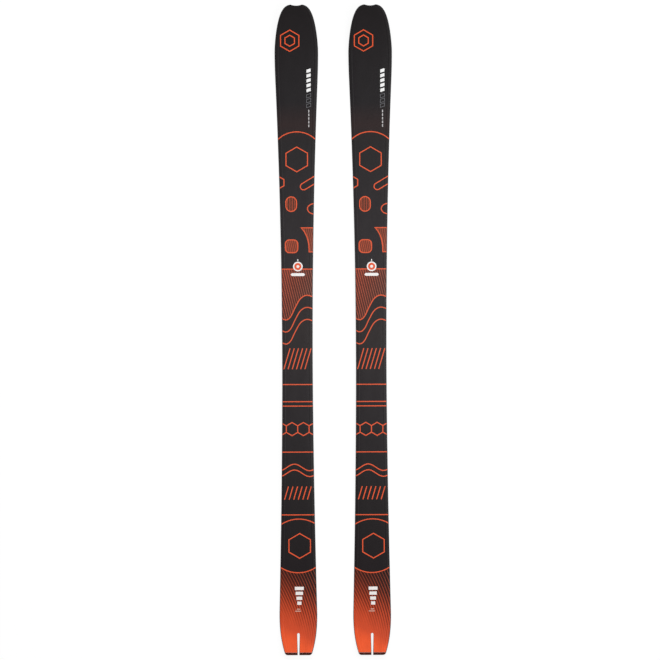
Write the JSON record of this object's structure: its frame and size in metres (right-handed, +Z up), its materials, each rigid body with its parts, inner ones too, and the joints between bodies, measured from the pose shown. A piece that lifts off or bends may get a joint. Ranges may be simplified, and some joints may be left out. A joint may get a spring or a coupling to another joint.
{
  "type": "pair of touring skis",
  "caption": "Pair of wide touring skis lying on their bases, charcoal topsheets with bevelled sides, raised rounded tips with a shallow notch, slotted tails and steel edges, with no bindings.",
  "frame": {"origin": "centre of the pair's footprint, on the floor that the running bases lie on", "axes": "+Y along the skis towards the tips, +Z up through the topsheets, +X towards the right ski"},
  "size_m": [0.3214, 1.78, 0.0633],
  "materials": {
    "base": "black sintered polyethylene with a fine stone-ground structure along the ski",
    "edge": "ground steel edge",
    "rubber": "thin black damping foil",
    "laminate": "glass fibre and resin laminate, straw coloured",
    "core_centre": "light planed wood, grain along the ski",
    "core_stringer": "denser planed wood, grain along the ski",
    "binding_plate": "thin rolled sheet, matt",
    "filler": "black plastic",
    "sidewall": "black plastic, planed to a slant",
    "topsheet": "satin charcoal printed plastic sheet with orange line graphics",
    "tail_cap": "very dark brown moulded plastic"
  },
  "bodies": {
    "left_ski": {"left_base_tail": "base", "left_base_rear": "base", "left_base_front": "base", "left_base_tip": "base", "left_edge_rear_outer": "edge", "left_edge_rear_inner": "edge", "left_edge_front_outer": "edge", "left_edge_front_inner": "edge", "left_rubber_outer": "rubber", "left_rubber_inner": "rubber", "left_lower_laminate": "laminate", "left_core_centre_rear": "core_centre", "left_core_centre_front": "core_centre", "left_core_stringer_rear_outer": "core_stringer", "left_core_stringer_rear_inner": "core_stringer", "left_core_stringer_front_outer": "core_stringer", "left_core_stringer_front_inner": "core_stringer", "left_sidewall_rear_outer": "sidewall", "left_sidewall_rear_inner": "sidewall", "left_sidewall_front_outer": "sidewall", "left_sidewall_front_inner": "sidewall", "left_binding_plate": "binding_plate", "left_tail_filler": "filler", "left_tip_filler": "filler", "left_upper_laminate": "laminate", "left_topsheet": "topsheet", "left_tail_cap_outer": "tail_cap", "left_tail_cap_inner": "tail_cap"},
    "right_ski": {"right_base_tail": "base", "right_base_rear": "base", "right_base_front": "base", "right_base_tip": "base", "right_edge_rear_outer": "edge", "right_edge_rear_inner": "edge", "right_edge_front_outer": "edge", "right_edge_front_inner": "edge", "right_rubber_outer": "rubber", "right_rubber_inner": "rubber", "right_lower_laminate": "laminate", "right_core_centre_rear": "core_centre", "right_core_centre_front": "core_centre", "right_core_stringer_rear_outer": "core_stringer", "right_core_stringer_rear_inner": "core_stringer", "right_core_stringer_front_outer": "core_stringer", "right_core_stringer_front_inner": "core_stringer", "right_sidewall_rear_outer": "sidewall", "right_sidewall_rear_inner": "sidewall", "right_sidewall_front_outer": "sidewall", "right_sidewall_front_inner": "sidewall", "right_binding_plate": "binding_plate", "right_tail_filler": "filler", "right_tip_filler": "filler", "right_upper_laminate": "laminate", "right_topsheet": "topsheet", "right_tail_cap_outer": "tail_cap", "right_tail_cap_inner": "tail_cap"}
  },
  "joints": [
    {"name": "right_ski_glide", "type": "slide", "parent": "left_ski", "child": "right_ski", "axis": [0, 1, 0], "range_m": [-0.45, 0.45]}
  ]
}
